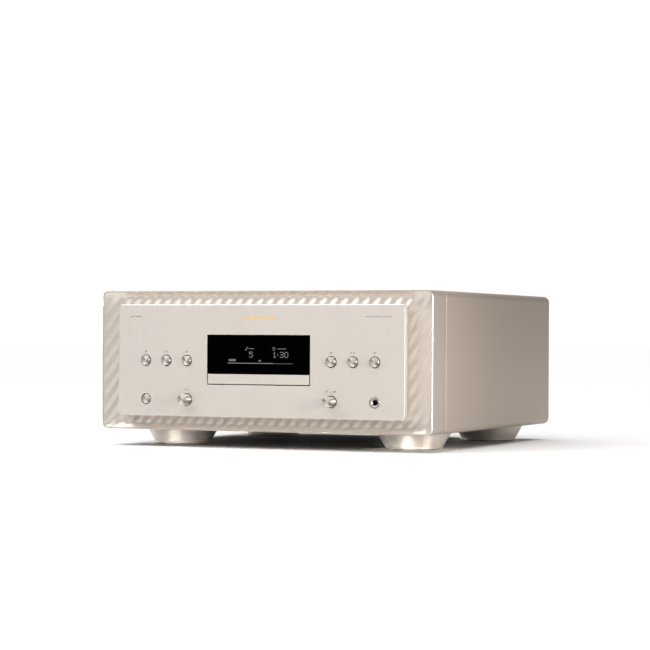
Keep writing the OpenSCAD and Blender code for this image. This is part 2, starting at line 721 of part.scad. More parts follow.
// The outline that a belt takes round both pulleys, grow outside their grooves
module belt_solid(grow, height) {
  span = motor_x - small_x;
  lean = asin((groove_r - motor_groove_r) / span);
  big = groove_r + grow;
  small = motor_groove_r + grow;
  union() {
    cylinder(r = big, h = height);
    translate([span, 0]) cylinder(r = small, h = height);
    linear_extrude(height = height) polygon([
      [big * sin(lean), big * cos(lean)], [span + small * sin(lean), small * cos(lean)],
      [span + small * sin(lean), -small * cos(lean)], [big * sin(lean), -big * cos(lean)]
    ]);
  }
}

module loading_belt() {
  color("black") translate([small_x, gear_y, pulley_z + 1.25]) difference() {
    belt_solid(1.3, 1.1);
    translate([0, 0, -1]) belt_solid(0.1, 4);
  }
}

module loading_motor() {
  color("darkgray") translate([motor_x, gear_y, 0]) union() {
    translate([0, 0, deck_z - 13]) cylinder(r = 10, h = 13);
    translate([0, 0, deck_z - 14.2]) cylinder(r = 3, h = 1.2);
  }
}

// ---------- Electronics ----------

// The toroid in its cup, with its clamping plate
module power_transformer() {
  z0 = floor_z;
  color("goldenrod") translate([toroid_x, toroid_y, z0]) union() {
    cylinder(r = toroid_r + 3, h = 2);
    translate([0, 0, 2]) difference() {
      cylinder(r = toroid_r, h = toroid_h);
      translate([0, 0, toroid_h - 12]) cylinder(r = 14, h = 13);
    }
    translate([0, 0, toroid_h - 10]) cylinder(r = 4, h = 14);
    translate([0, 0, toroid_h + 4]) cylinder(r = 20, h = 1.6);
  }
}

// The supply's board on four posts, with its two finned coolers
module power_board() {
  color("darkgreen") union() {
    block([88, -158, board_z], [204, -22, board_z + board_t]);
    for (x = [94, 198], y = [-152, -28]) translate([x, y, floor_z]) cylinder(r = 3, h = board_z - floor_z);
    for (y = [-146, -60]) {
      block([186, y, board_z + board_t], [190, y + 26, board_z + 34]);
      for (k = [0:4]) block([190, y + 1 + k * 5.6, board_z + board_t + 1], [201, y + 2.6 + k * 5.6, board_z + 34]);
    }
  }
}

// Smoothing capacitors in two rows
module capacitor_bank() {
  z0 = board_z + board_t;
  color("midnightblue") for (i = [0:3], j = [0:1]) translate([106 + j * 30, -134 + i * 30, z0])
    rotate_extrude() polygon([[0, 0], [12, 0], [12, 2.5], [11.3, 3.2], [12, 4], [12, 37], [11.2, 38], [9, 38], [8.6, 37.4], [0, 37.4]]);
}

// The converter and output board at the rear, with its chips and small parts
module dac_board() {
  z0 = board_z + board_t;
  color("darkgreen") union() {
    block([-76, 34, board_z], [204, rear_y - 18, z0]);
    block([-64, rear_y - 18 - board_t, board_z], [204, rear_y - 18, 136]);
    for (x = [-68, 64, 196], y = [42, 197]) translate([x, y, floor_z]) cylinder(r = 3, h = board_z - floor_z);
    for (x = [-54, -18], y = [60, 104]) block([x, y, z0], [x + 20, y + 20, z0 + 2.2]);
    for (x = [-60:14:24], y = [150, 170]) translate([x, y, z0]) cylinder(r = 4, h = 12);
  }
}

// Copper screening cans over the two output stages and the clock
module shield_cans() {
  z0 = board_z + board_t;
  color("peru") for (b = [[60, 52, 60, 84], [130, 52, 60, 84], [14, 60, 34, 40]])
    difference() {
      block([b[0], b[1], z0], [b[0] + b[2], b[1] + b[3], z0 + 26]);
      block([b[0] + 1, b[1] + 1, z0 - 1], [b[0] + b[2] - 1, b[1] + b[3] - 1, z0 + 25]);
    }
}

// The mains inlet: a flange, an insulated cavity and three blades
module mains_inlet() {
  x = inlet_place[0];
  z = inlet_place[1];
  color("black") union() {
    difference() {
      union() {
        block([x - 25, rear_y, z - 12], [x + 25, rear_y + 2.5, z + 12]);
        block([x - 13.8, rear_y - 20, z - 10], [x + 13.8, rear_y, z + 10]);
      }
      block([x - 12, rear_y - 14, z - 8.2], [x + 12, rear_y + 3, z + 8.2]);
      for (s = [-1, 1]) rod_y(x + s * 20, z, 1.7, rear_y - 1, rear_y + 3);
    }
    for (p = [[-7, -2], [7, -2], [0, 2]]) block([x + p[0] - 1, rear_y - 14.5, z + p[1] - 2], [x + p[0] + 1, rear_y + 1, z + p[1] + 2]);
  }
}

// Six phono sockets: a flange outside the panel, a barrel and a bore for the centre pin
module rca_jacks() {
  color("gold") for (p = rca_places) difference() {
    lathe_y(p[0], p[1], [
      [0, rear_y - 18], [4.6, rear_y - 18], [4.6, rear_y], [7, rear_y], [7, rear_y + 1.2], [rca_r, rear_y + 1.2], [rca_r, terminal_y],
      [0, terminal_y]
    ]);
    rod_y(p[0], p[1], rca_bore_r, terminal_y - 8, terminal_y + 1);
  }
}

// Two male balanced outputs: a square flange, a round cavity and three pins
module xlr_sockets() {
  color("silver") for (p = xlr_places) union() {
    difference() {
      union() {
        block([p[0] - 13, rear_y, p[1] - 15.5], [p[0] + 13, rear_y + 2, p[1] + 15.5]);
        rod_y(p[0], p[1], 11.3, rear_y - 18, rear_y);
      }
      rod_y(p[0], p[1], 9.3, rear_y - 15, rear_y + 3);
      for (s = [-1, 1]) rod_y(p[0] + s * 9.6, p[1] + s * 12, 1.6, rear_y - 1, rear_y + 3);
    }
    for (a = [90, 210, 330]) rod_y(p[0] + 4.2 * cos(a), p[1] + 4.2 * sin(a), 1.2, rear_y - 15.5, rear_y - 1.5);
  }
}

// The data sockets: one USB type B and two optical ports with closed shutters
module digital_ports() {
  color("darkgray") {
    difference() {
      block([usb_place[0] - 6, rear_y - 18, usb_place[1] - 5.5], [usb_place[0] + 6, rear_y + 1, usb_place[1] + 5.5]);
      difference() {
        block([usb_place[0] - 4.3, rear_y - 9, usb_place[1] - 4], [usb_place[0] + 4.3, rear_y + 2, usb_place[1] + 4]);
        block([usb_place[0] - 2.8, rear_y - 10, usb_place[1] - 1.6], [usb_place[0] + 2.8, rear_y - 0.5, usb_place[1] + 1.6]);
      }
    }
    for (p = optical_places) difference() {
      block([p[0] - 5.2, rear_y - 18, p[1] - 5.2], [p[0] + 5.2, rear_y + 1.5, p[1] + 5.2]);
      block([p[0] - 4.2, rear_y, p[1] - 4.2], [p[0] + 4.2, rear_y + 2, p[1] + 4.2]);
    }
  }
}

// One insulated lead: straight runs along the axes through a list of points, with a ball at each bend
module lead(points) {
  r = 2;
  union() {
    for (i = [0:len(points) - 2]) {
      a = points[i];
      b = points[i + 1];
      run = b - a;
      length = norm(run);
      turn = abs(run[0]) > 0 ? [0, 90 * sign(run[0]), 0] : abs(run[1]) > 0 ? [-90 * sign(run[1]), 0, 0] : [run[2] > 0 ? 0 : 180, 0, 0];
      translate(a) rotate(turn) cylinder(r = r, h = length);
    }
    for (i = [1:len(points) - 2]) translate(points[i]) sphere(r = r + 0.35);
  }
}

// Wiring: the mains pair to the transformer, its leads to the supply, and the display's ribbon
module wiring_harness() {
  z = floor_z + 5;
  y_back = rear_y - 40;
  color("firebrick") {
    for (x = [-152, -168])
      lead([[x, rear_y - 20, inlet_place[1]], [x, y_back, inlet_place[1]], [x, y_back, z], [x, toroid_y + 49, z]]);
    for (k = [0, 1])
      lead([[-112 + 7 * k, toroid_y + 38 - 5 * k, z], [-112 + 7 * k, 12 + 7 * k, z], [110 + 7 * k, 12 + 7 * k, z],
            [110 + 7 * k, -40, z], [110 + 7 * k, -40, board_z]]);
    union() {
      block([-20, fascia_back + 5, glass_z + 31], [20, fascia_back + 5.8, glass_z + 42]);
      block([-20, fascia_back + 5, glass_z + 41.2], [20, 40, glass_z + 42]);
      block([-20, 39.2, board_z + board_t], [20, 40, glass_z + 42]);
    }
  }
}

front_frame();
wave_panel();
fascia();
fascia_posts();
light_guide();
front_subpanel();
side_panel(-1);  // side_panel_left
side_panel(1);  // side_panel_right
top_cover();
rear_panel();
bottom_plate();
chassis_tub();
feet();
foot_pads();
case_screws();
display_window();
display_module();
button_dimmer();
button_stop();
button_open();
button_previous();
button_play();
button_next();
button_power();
input_knob();
phones_knob();
input_encoder();
phones_potentiometer();
phones_jack();
control_boards();
tact_switches();
tray_front();
disc_tray();
mech_frame();
mech_cover();
mech_stand();
mech_isolators();
traverse_plate();
guide_rods();
optical_pickup();
feed_screw();
feed_motor();
spindle_motor();
turntable();
disc_clamp();
loading_gear();
pulley_gear();
motor_pulley();
loading_belt();
loading_motor();
power_transformer();
power_board();
capacitor_bank();
dac_board();
shield_cans();
mains_inlet();
rca_jacks();
xlr_sockets();
digital_ports();
wiring_harness();
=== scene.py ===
"""Looks for the disc player: detailed outer pieces, procedural materials, soft studio light."""
import math

import bmesh
import bpy
from mathutils import Matrix, Vector
from mathutils.geometry import tessellate_polygon


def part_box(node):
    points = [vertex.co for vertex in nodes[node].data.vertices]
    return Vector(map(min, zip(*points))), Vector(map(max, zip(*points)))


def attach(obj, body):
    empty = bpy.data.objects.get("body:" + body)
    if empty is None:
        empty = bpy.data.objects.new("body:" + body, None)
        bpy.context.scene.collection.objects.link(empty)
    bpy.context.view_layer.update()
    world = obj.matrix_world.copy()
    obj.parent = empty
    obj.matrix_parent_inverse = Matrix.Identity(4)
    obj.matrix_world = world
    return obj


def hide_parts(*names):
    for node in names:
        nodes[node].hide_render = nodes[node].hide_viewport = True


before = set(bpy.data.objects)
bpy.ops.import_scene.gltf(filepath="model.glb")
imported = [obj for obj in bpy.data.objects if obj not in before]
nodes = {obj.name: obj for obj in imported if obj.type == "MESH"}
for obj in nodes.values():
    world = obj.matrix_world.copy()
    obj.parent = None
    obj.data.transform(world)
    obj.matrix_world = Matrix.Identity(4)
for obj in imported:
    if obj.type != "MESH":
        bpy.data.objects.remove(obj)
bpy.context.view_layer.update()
MM = 0.001
ROOT = "player"


# ---------- Measures from the CAD frame ----------

def mm_box(node):
    """A node's lowest and highest corners, in millimetres."""
    low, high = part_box(node)
    return [v / MM for v in low], [v / MM for v in high]


def centre(node):
    """The middle of a node's box, in millimetres."""
    low, high = mm_box(node)
    return [(a + b) / 2 for a, b in zip(low, high)]


# ---------- Outline makers: a call gives the outline's points, inset by d ----------

def rounded(cx, cz, w, h, r, steps=10):
    """A round-cornered rectangle."""
    def outline(d=0.0):
        a, b, q = w / 2 - d, h / 2 - d, max(r - d, 0.05)
        points = []
        for k, (sx, sz) in enumerate(((1, 1), (-1, 1), (-1, -1), (1, -1))):
            for i in range(steps + 1):
                t = math.radians(90 * k + 90 * i / steps)
                points.append((cx + sx * (a - q) + q * math.cos(t), cz + sz * (b - q) + q * math.sin(t)))
        return points
    return outline


def over_box(low, high, r):
    """A round-cornered rectangle as wide and high as a box that is centred on X = 0."""
    return rounded(0, (low[2] + high[2]) / 2, high[0] - low[0], high[2] - low[2], r, 4)


def ring(cx, cz, r, steps=64):
    """A circle."""
    def outline(d=0.0):
        angles = [2 * math.pi * i / steps for i in range(steps)]
        return [(cx + (r - d) * math.cos(t), cz + (r - d) * math.sin(t)) for t in angles]
    return outline


def polygon(points):
    """Any counter-clockwise convex outline."""
    def outline(d=0.0):
        out = []
        n = len(points)
        for i in range(n):
            p, q, s = Vector(points[i - 1]), Vector(points[i]), Vector(points[(i + 1) % n])
            e1, e2 = (q - p).normalized(), (s - q).normalized()
            n1, n2 = Vector((-e1.y, e1.x)), Vector((-e2.y, e2.x))
            m = n1 + n2
            k = d / max(0.3, 1 + n1.dot(n2))
            out.append((q.x + m.x * k, q.y + m.y * k))
        return out
    return outline


def round_ended(cx, cy, length, width, steps=6):
    """A round-ended slot along X."""
    def outline(d=0.0):
        r = width / 2 - d
        half = (length - width) / 2
        points = []
        for k, sx in ((0, 1), (1, -1)):
            for i in range(steps + 1):
                t = math.radians(-90 + 180 * k + 180 * i / steps)
                points.append((cx + sx * half + r * math.cos(t), cy + r * math.sin(t)))
        return points
    return outline


# ---------- Mesh makers ----------

def place(axis, u, v, w):
    """A point in metres from flat coordinates u, v and a level w along axis Y or Z."""
    return (u * MM, w * MM, v * MM) if axis == "Y" else (u * MM, v * MM, w * MM)


def make(name, verts, faces, sharp_deg=32, sharp_edges=()):
    """A smooth-shaded object with sharp edges where the surface bends by more than sharp_deg."""
    mesh = bpy.data.meshes.new(name)
    mesh.from_pydata(verts, [], faces)
    mesh.validate()
    mesh.update()
    mesh.polygons.foreach_set("use_smooth", [True] * len(mesh.polygons))
    mesh.set_sharp_from_angle(angle=math.radians(sharp_deg))
    if sharp_edges:
        wanted = {tuple(sorted(e)) for e in sharp_edges}
        for e in mesh.edges:
            if tuple(sorted(e.vertices)) in wanted:
                e.use_edge_sharp = True
    bm = bmesh.new()
    bm.from_mesh(mesh)
    bmesh.ops.recalc_face_normals(bm, faces=bm.faces)
    bm.to_mesh(mesh)
    bm.free()
    obj = bpy.data.objects.new(name, mesh)
    bpy.context.scene.collection.objects.link(obj)
    return obj


def rounding(size, steps):
    """Pairs of inset and depth along a quarter round of the given size."""
    angles = [math.pi / 2 * i / steps for i in range(steps + 1)]
    return [(size * (1 - math.sin(t)), size * (1 - math.cos(t))) for t in angles]


def plate(name, axis, outer, holes, lo, hi, edge=0.3, hole_edge=0.2, back_edge=0.2, steps=3):
    """A plate with rounded edges between the levels lo and hi, with holes through it."""
    verts, faces, sharp = [], [], []
    caps = {0: [], 1: []}
    for k, outline in enumerate([outer] + list(holes)):
        sign = 1 if k == 0 else -1
        e = edge if k == 0 else hole_edge
        b = back_edge if k == 0 else min(back_edge, hole_edge)
        levels = [(sign * d, lo + y) for d, y in rounding(e, steps)]
        levels += [(sign * d, hi - y) for d, y in reversed(rounding(b, steps))]
        first = len(verts)
        n = len(outline())
        for d, y in levels:
            verts += [place(axis, u, v, y) for u, v in outline(d)]
        for j in range(len(levels) - 1):
            for i in range(n):
                a, c = first + j * n + i, first + j * n + (i + 1) % n
                faces.append((a, c, c + n, a + n))
        for side, j in ((0, 0), (1, len(levels) - 1)):
            loop = [first + j * n + i for i in range(n)]
            caps[side].append(loop)
            sharp += [(loop[i], loop[(i + 1) % n]) for i in range(n)]
    across = 2 if axis == "Y" else 1
    for loops in caps.values():
        flat = [[Vector((verts[i][0], verts[i][across], 0)) for i in loop] for loop in loops]
        index = [i for loop in loops for i in loop]
        for tri in tessellate_polygon(flat):
            faces.append(tuple(index[t] for t in tri))
    return make(name, verts, faces, sharp_edges=sharp)


def lathe(name, axis, cx, cv, profile, steps=72):
    """A turned piece: the profile's points are (radius, level) along axis Y or Z."""
    verts, faces, rows = [], [], []
    for r, w in profile:
        if r <= 1e-6:
            rows.append([len(verts)])
            verts.append(place(axis, cx, cv, w))
        else:
            rows.append(list(range(len(verts), len(verts) + steps)))
            for i in range(steps):
                t = 2 * math.pi * i / steps
                verts.append(place(axis, cx + r * math.cos(t), cv + r * math.sin(t), w))
    pairs = list(zip(rows, rows[1:]))
    if len(rows[0]) > 1 and len(rows[-1]) > 1:
        pairs.append((rows[-1], rows[0]))
    for a, b in pairs:
        for i in range(steps):
            j = (i + 1) % steps
            if len(a) == 1 and len(b) > 1:
                faces.append((a[0], b[i], b[j]))
            elif len(b) == 1 and len(a) > 1:
                faces.append((a[i], b[0], a[j]))
            elif len(a) > 1 and len(b) > 1:
                faces.append((a[i], b[i], b[j], a[j]))
    return make(name, verts, faces)


def soften(points, steps=4):
    """Turns profile points (radius, level, fillet) into a profile with round corners."""
    out = []
    n = len(points)
    for i, (r, w, f) in enumerate(points):
        if f <= 0 or i in (0, n - 1):
            out.append((r, w))
            continue
        p, q, s = Vector(points[i - 1][:2]), Vector((r, w)), Vector(points[i + 1][:2])
        a, b = (p - q), (s - q)
        f = min(f, a.length * 0.49, b.length * 0.49)
        a, b = q + a.normalized() * f, q + b.normalized() * f
        for k in range(steps + 1):
            t = k / steps
            m = a * (1 - t) ** 2 + q * 2 * t * (1 - t) + b * t ** 2
            out.append((m.x, m.y))
    return out


def loop_solid(name, outline, profile, widths=(1, 1, 1, 1)):
    """A closed ring: the profile's points are (inset, level along Y), swept round the outline.
    The widths scale the profile on the left, right, bottom and top."""
    left, right, bottom, upper = widths
    verts, faces = [], []
    base, inner = outline(0), outline(1.0)
    n = len(base)
    front = min(y for d, y in profile)
    for d, y in profile:
        for (u, v), (p, q) in zip(base, inner):
            run = max(1e-6, math.hypot(u - p, v - q))
            nu, nv = (u - p) / run, (v - q) / run
            k = nu * nu * (right if nu > 0 else left) + nv * nv * (upper if nv > 0 else bottom)
            verts.append(place("Y", u - nu * d * k, v - nv * d * k, front + (y - front) * k))
    for j in range(len(profile)):
        k = (j + 1) % len(profile)
        for i in range(n):
            m = (i + 1) % n
            faces.append((j * n + i, j * n + m, k * n + m, k * n + i))
    return make(name, verts, faces, 30)


def prisms(name, shapes, y0, y1):
    """Thin printed or lit marks: each shape is an outline in X and Z, raised from y1 to y0."""
    verts, faces = [], []
    for points in shapes:
        n = len(points)
        first = len(verts)
        verts += [place("Y", x, z, y0) for x, z in points] + [place("Y", x, z, y1) for x, z in points]
        for tri in tessellate_polygon([[Vector((x, z, 0)) for x, z in points]]):
            faces.append(tuple(first + t for t in tri))
            faces.append(tuple(first + n + t for t in reversed(tri)))
        for i in range(n):
            j = (i + 1) % n
            faces.append((first + i, first + j, first + n + j, first + n + i))
    return make(name, verts, faces, 30)


# ---------- Materials ----------

def surface(name, colour, rough, metallic=0.0, grain=800.0, stretch=(1, 1, 1), vary=0.06,
            rough_vary=0.06, bump=0.05, specular=0.5, anisotropic=0.0, coat=0.0, emission=None,
            tangent=None, turn=0.0):
    """A principled surface whose colour and roughness come from noise, with a fine bump."""
    mat = bpy.data.materials.new(name)
    mat.use_nodes = True
    tree = mat.node_tree
    tree.nodes.clear()
    new, link = tree.nodes.new, tree.links.new
    out = new("ShaderNodeOutputMaterial")
    bsdf = new("ShaderNodeBsdfPrincipled")
    link(bsdf.outputs[0], out.inputs[0])
    coords = new("ShaderNodeTexCoord")
    mapping = new("ShaderNodeMapping")
    mapping.inputs["Scale"].default_value = stretch
    link(coords.outputs["Object"], mapping.inputs["Vector"])
    fine = new("ShaderNodeTexNoise")
    fine.inputs["Scale"].default_value = grain
    fine.inputs["Detail"].default_value = 3.0
    link(mapping.outputs[0], fine.inputs["Vector"])
    broad = new("ShaderNodeTexNoise")
    broad.inputs["Scale"].default_value = 12.0
    broad.inputs["Detail"].default_value = 2.0
    link(coords.outputs["Object"], broad.inputs["Vector"])
    both = new("ShaderNodeMix")
    both.data_type = "FLOAT"
    both.inputs[0].default_value = 0.35
    link(fine.outputs[0], both.inputs[2])
    link(broad.outputs[0], both.inputs[3])
    ramp = new("ShaderNodeValToRGB")
    low, high = ramp.color_ramp.elements
    low.position, high.position = 0.30, 0.70
    low.color = (*[c * (1 - vary) for c in colour], 1)
    high.color = (*[min(1, c * (1 + vary)) for c in colour], 1)
    link(both.outputs[0], ramp.inputs[0])
    link(ramp.outputs[0], bsdf.inputs["Base Color"])
    spread = new("ShaderNodeMapRange")
    spread.inputs["From Min"].default_value = 0.3
    spread.inputs["From Max"].default_value = 0.7
    spread.inputs["To Min"].default_value = max(0.02, rough - rough_vary)
    spread.inputs["To Max"].default_value = min(1.0, rough + rough_vary)
    link(fine.outputs[0], spread.inputs["Value"])
    link(spread.outputs[0], bsdf.inputs["Roughness"])
    if bump > 0:
        bumps = new("ShaderNodeBump")
        bumps.inputs["Strength"].default_value = bump
        bumps.inputs["Distance"].default_value = 0.0002
        link(fine.outputs[0], bumps.inputs["Height"])
        link(bumps.outputs[0], bsdf.inputs["Normal"])
    bsdf.inputs["Metallic"].default_value = metallic
    bsdf.inputs["Specular IOR Level"].default_value = specular
    bsdf.inputs["Anisotropic"].default_value = anisotropic
    bsdf.inputs["Anisotropic Rotation"].default_value = turn
    if coat:
        bsdf.inputs["Coat Weight"].default_value = coat
        bsdf.inputs["Coat Roughness"].default_value = 0.08
    if tangent:
        node = new("ShaderNodeTangent")
        node.direction_type = "RADIAL"
        node.axis = tangent
        link(node.outputs[0], bsdf.inputs["Tangent"])
    if emission:
        bsdf.inputs["Emission Color"].default_value = (*emission[0], 1)
        bsdf.inputs["Emission Strength"].default_value = emission[1]
    return mat


def painted_spun_reflection(mat, stops):
    """Painted reflection: radial light and dark sectors round the axis along Y, multiplied into the base
    colour where a spun end's highlight would show.
    They are fixed to the piece. Each stop is an angle in degrees and a tone."""
    tree = mat.node_tree
    new, link = tree.nodes.new, tree.links.new
    bsdf = next(n for n in tree.nodes if n.type == "BSDF_PRINCIPLED")
    base = bsdf.inputs["Base Color"].links[0].from_socket
    coords, centred = new("ShaderNodeTexCoord"), new("ShaderNodeVectorMath")
    centred.operation = "SUBTRACT"
    centred.inputs[1].default_value = (0.5, 0.5, 0.5)
    link(coords.outputs["Generated"], centred.inputs[0])
    apart, flat = new("ShaderNodeSeparateXYZ"), new("ShaderNodeCombineXYZ")
    link(centred.outputs[0], apart.inputs[0])
    link(apart.outputs["X"], flat.inputs["X"])
    link(apart.outputs["Z"], flat.inputs["Y"])
    around = new("ShaderNodeTexGradient")
    around.gradient_type = "RADIAL"
    link(flat.outputs[0], around.inputs[0])
    ramp = new("ShaderNodeValToRGB")
    ramp.color_ramp.interpolation = "EASE"
    first, last = ramp.color_ramp.elements
    first.position, last.position = 0.0, 1.0
    for degrees, tone in stops:
        e = ramp.color_ramp.elements.new(degrees / 360)
        e.color = (tone, tone, tone, 1)
    first.color = last.color = (stops[0][1], stops[0][1], stops[0][1], 1)
    link(around.outputs["Fac"], ramp.inputs[0])
    mix = new("ShaderNodeMix")
    mix.data_type, mix.blend_type = "RGBA", "MULTIPLY"
    mix.inputs[0].default_value = 1.0
    link(base, mix.inputs[6])
    link(ramp.outputs[0], mix.inputs[7])
    link(mix.outputs[2], bsdf.inputs["Base Color"])


UNLIT = (0.05, 0.05, 0.05)
MATERIALS = {
    "fascia": surface("fascia_aluminium", (0.57, 0.532, 0.492), 0.46, 0.6, grain=520,
                      stretch=(0.6, 1, 1), vary=0.035, bump=0.16),
    # The frame ring and the casing are the same champagne aluminium as the front plate, given a darker colour
    # here as painted shade on the sides.
    "frame": surface("frame_aluminium_shaded", (0.40, 0.345, 0.295), 0.42, 0.6, grain=1800, vary=0.03, bump=0.05),
    "wave": surface("wave_aluminium", (0.565, 0.515, 0.462), 0.42, 0.75, grain=2200, vary=0.03, bump=0.04),
    "casing": surface("casing_aluminium", (0.40, 0.334, 0.279), 0.42, 0.6, grain=1800,
                      stretch=(1, 0.5, 1), vary=0.03, bump=0.05),
    # The feet are the champagne aluminium in a lighter colour, as painted light on feet that stand in the
    # body's shade.
    "foot": surface("foot_aluminium", (0.76, 0.70, 0.635), 0.48, 0.75, grain=900, stretch=(1, 1, 6),
                    vary=0.03, bump=0.05, anisotropic=0.85, tangent="Z", turn=0.25),
    "control": surface("control_aluminium", (0.72, 0.68, 0.63), 0.45, 1.0, grain=1500, vary=0.03,
                       bump=0.03, anisotropic=0.95, tangent="Y", turn=0.25),
    # A lighter metal laid as a thin skin over rounded edges: a painted highlight on top of the light that the
    # real rounding catches.
    "edge_highlight": surface("painted_edge_highlight", (0.78, 0.76, 0.73), 0.33, 1.0, grain=2500, vary=0.02, bump=0.02),
    "ring": surface("ring_nickel", (0.38, 0.36, 0.33), 0.42, 1.0, grain=1200, vary=0.03, bump=0.02),
    "glass": surface("display_glass", (0.0004, 0.0004, 0.0005), 0.06, grain=300, vary=0.2,
                     rough_vary=0.02, bump=0.0, specular=0.0),
    "print": surface("printed_grey", (0.12, 0.098, 0.075), 0.6, grain=3000, vary=0.08, bump=0.02),
    "gold": surface("gold_inlay", (0.86, 0.55, 0.17), 0.35, 0.6, grain=2500, vary=0.05, bump=0.02),
    "lit": surface("display_light", UNLIT, 0.5, grain=2500, vary=0.05, bump=0.0,
                   emission=((0.95, 0.89, 0.84), 0.16)),
    "lit_dim": surface("display_light_dim", UNLIT, 0.5, grain=2500, vary=0.05, bump=0.0,
                       emission=((0.9, 0.86, 0.83), 0.075)),
    "guide": surface("light_guide_glow", (0.95, 0.89, 0.80), 0.35, grain=600, vary=0.04, bump=0.02,
                     emission=((1.0, 0.93, 0.84), 0.7)),
    "rubber": surface("foot_rubber", (0.012, 0.012, 0.012), 0.85, grain=1500, vary=0.2, bump=0.3),
    "dark_paint": surface("rear_paint", (0.035, 0.035, 0.036), 0.55, grain=1600, vary=0.2, bump=0.35),
    "steel": surface("bare_steel", (0.52, 0.52, 0.53), 0.34, 1.0, grain=900, stretch=(0.3, 1, 1),
                     vary=0.06, bump=0.04),
    "dark_steel": surface("dark_steel", (0.07, 0.07, 0.07), 0.5, 0.3, grain=900, vary=0.12, bump=0.1),
    "gold_steel": surface("gold_steel", (0.55, 0.40, 0.20), 0.42, 0.9, grain=700, vary=0.10, bump=0.05),
    "copper": surface("copper_plate", (0.66, 0.34, 0.22), 0.36, 1.0, grain=700, stretch=(0.4, 1, 1),
                      vary=0.07, bump=0.05),
    "brass": surface("turned_brass", (0.72, 0.52, 0.24), 0.28, 1.0, grain=1200, vary=0.05, bump=0.03),
    "gold_plate": surface("gold_plate", (0.83, 0.60, 0.27), 0.18, 1.0, grain=900, vary=0.04, bump=0.02),
    "nickel": surface("nickel_shell", (0.60, 0.58, 0.55), 0.26, 1.0, grain=1100, vary=0.04, bump=0.03),
    "black_plastic": surface("black_plastic", (0.018, 0.018, 0.019), 0.45, grain=1500, vary=0.15, bump=0.15),
    "tray_plastic": surface("tray_plastic", (0.028, 0.028, 0.030), 0.5, grain=2200, vary=0.15, bump=0.25),
    "grey_plastic": surface("grey_plastic", (0.16, 0.16, 0.165), 0.5, grain=1400, vary=0.10, bump=0.12),
    "white_plastic": surface("white_plastic", (0.72, 0.70, 0.64), 0.4, grain=1300, vary=0.04, bump=0.05),
    "cast": surface("die_cast", (0.26, 0.26, 0.27), 0.5, 0.7, grain=700, vary=0.10, bump=0.2),
    "board": surface("circuit_board", (0.018, 0.11, 0.045), 0.35, grain=420, vary=0.35, bump=0.1, coat=0.3),
    "sleeve": surface("capacitor_sleeve", (0.02, 0.025, 0.07), 0.25, grain=500, vary=0.15, bump=0.05,
                      coat=0.4),
    "wire": surface("wire_cover", (0.28, 0.03, 0.025), 0.45, grain=900, vary=0.1, bump=0.05),
}
# Painted reflection on the button and knob ends: light and dark sectors in the base colour where a spun end's
# highlight would fall.
painted_spun_reflection(MATERIALS["control"], [
    (8, 0.62), (35, 0.95), (62, 1.0), (92, 0.72), (118, 0.85), (145, 0.35), (172, 0.6), (205, 0.9),
    (238, 1.0), (268, 0.75), (300, 0.8), (325, 0.35), (350, 0.6)])


def wear(obj, mat):
    """Gives an object one material and no other."""
    obj.data.materials.clear()
    obj.data.materials.append(MATERIALS[mat])


def piece(obj, mat, body=ROOT, replaces=()):
    """Gives a new piece its material and its body, and hides the CAD nodes it stands for."""
    wear(obj, mat)
    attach(obj, body)
    if replaces:
        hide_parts(*replaces)
    return obj


NODE_LOOK = {
    "fascia_posts": "steel", "light_guide": "guide", "front_subpanel": "gold_steel", "chassis_tub": "copper",
    "display_module": "black_plastic", "input_encoder": "grey_plastic", "phones_potentiometer": "steel",
    "control_boards": "board", "tact_switches": "black_plastic", "disc_tray": "tray_plastic",
    "mech_frame": "cast", "mech_cover": "steel", "mech_stand": "cast", "mech_isolators": "rubber",
    "traverse_plate": "steel",
    "guide_rods": "ring", "optical_pickup": "cast", "feed_screw": "steel", "feed_motor": "steel",
    "spindle_motor": "steel", "turntable": "black_plastic", "disc_clamp": "white_plastic",
    "loading_gear": "white_plastic", "pulley_gear": "white_plastic", "motor_pulley": "brass",
    "loading_belt": "rubber", "loading_motor": "steel", "power_transformer": "copper", "power_board": "board",
    "capacitor_bank": "sleeve", "dac_board": "board", "shield_cans": "copper", "mains_inlet": "black_plastic",
    "xlr_sockets": "nickel", "digital_ports": "grey_plastic", "wiring_harness": "wire",
    "foot_pads": "rubber", "case_screws": "steel", "rca_jacks": "gold_plate", "rear_panel": "dark_paint",
    "bottom_plate": "dark_steel",
}
for node_name, look in NODE_LOOK.items():
    wear(nodes[node_name], look)

# ---------- Where things are, from the CAD frame, in millimetres ----------

frame_lo, frame_hi = mm_box("front_frame")
FRONT, SEAM = frame_lo[1], frame_hi[1]
BODY_W = frame_hi[0] - frame_lo[0]
BODY_H = frame_hi[2] - frame_lo[2]
BODY_Z = (frame_hi[2] + frame_lo[2]) / 2
BODY_R = 8.0
body_outline = rounded(0, BODY_Z, BODY_W, BODY_H, BODY_R, 12)

plate_lo, plate_hi = mm_box("fascia")
PLATE_Y0, PLATE_Y1 = plate_lo[1], plate_hi[1]
PLATE_W = plate_hi[0] - plate_lo[0]
PLATE_H = plate_hi[2] - plate_lo[2]
PLATE_Z = (plate_hi[2] + plate_lo[2]) / 2
PLATE_R = 4.0
plate_outline = rounded(0, PLATE_Z, PLATE_W, PLATE_H, PLATE_R, 10)

# ---------- Front frame: a ring with a rounded front edge, and a lighter metal skin on that edge as a painted highlight ---

